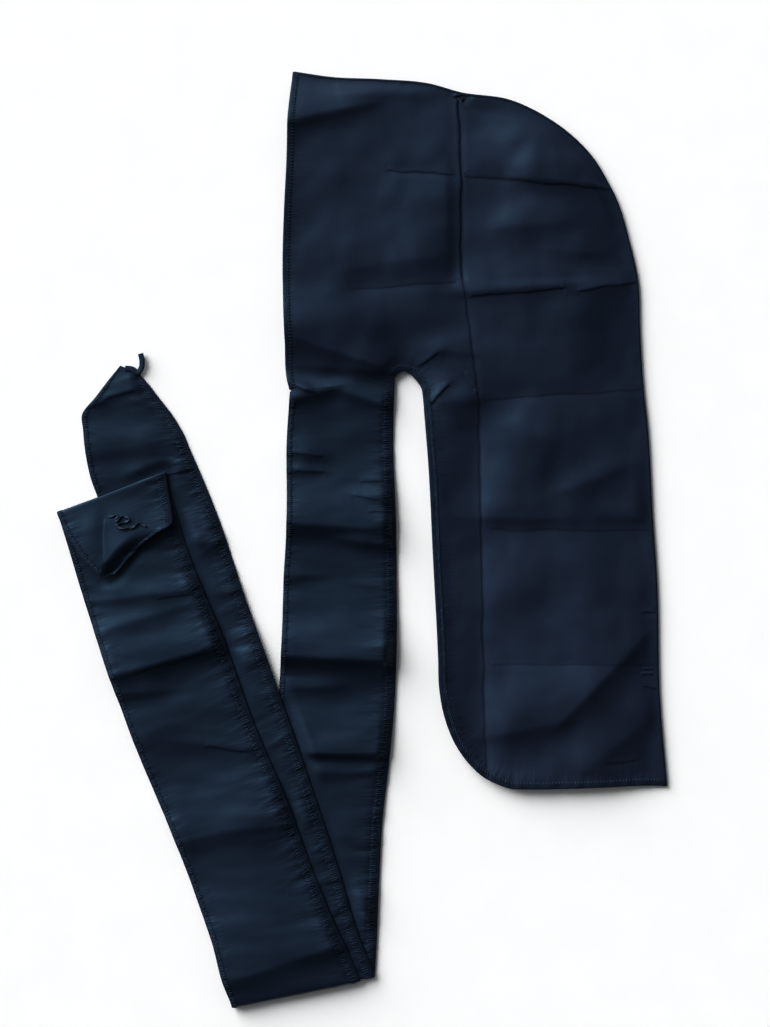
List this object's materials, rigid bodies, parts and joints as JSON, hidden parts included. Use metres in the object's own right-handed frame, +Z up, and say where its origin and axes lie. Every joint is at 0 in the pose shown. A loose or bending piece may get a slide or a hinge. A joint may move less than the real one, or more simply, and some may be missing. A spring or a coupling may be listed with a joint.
{
  "type": "durag",
  "caption": "Satin durag folded flat along its crown seam: domed cap with a hanging tail, and two long ties laid down, folded up and turned over at the end.",
  "frame": {"origin": "centre of the bounding box's footprint, on the surface that the durag lies on", "axes": "+Y from the tail and ties up to the crown, +X from the ties towards the nape seam, +Z up off the surface"},
  "size_m": [0.4572, 0.6992, 0.0147],
  "materials": {
    "satin": "navy satin, soft sheen",
    "tie_satin": "navy satin, soft sheen, cross wrinkles",
    "seam": "navy satin seam allowance",
    "hem": "turned and overlocked navy satin edge",
    "stitching": "navy polyester overlock thread"
  },
  "bodies": {
    "root": {"far_panel": "satin", "near_panel": "satin", "crown_seam": "seam", "far_front_hem": "hem", "near_front_hem": "hem", "far_tail_hem": "hem", "near_tail_hem": "hem", "far_tie": "tie_satin", "near_tie": "tie_satin", "far_tie_outer_hem": "hem", "far_tie_inner_hem": "hem", "near_tie_outer_hem": "hem", "near_tie_inner_hem": "hem", "near_tie_hem_end": "stitching", "far_tie_hem_end": "stitching"}
  },
  "joints": []
}
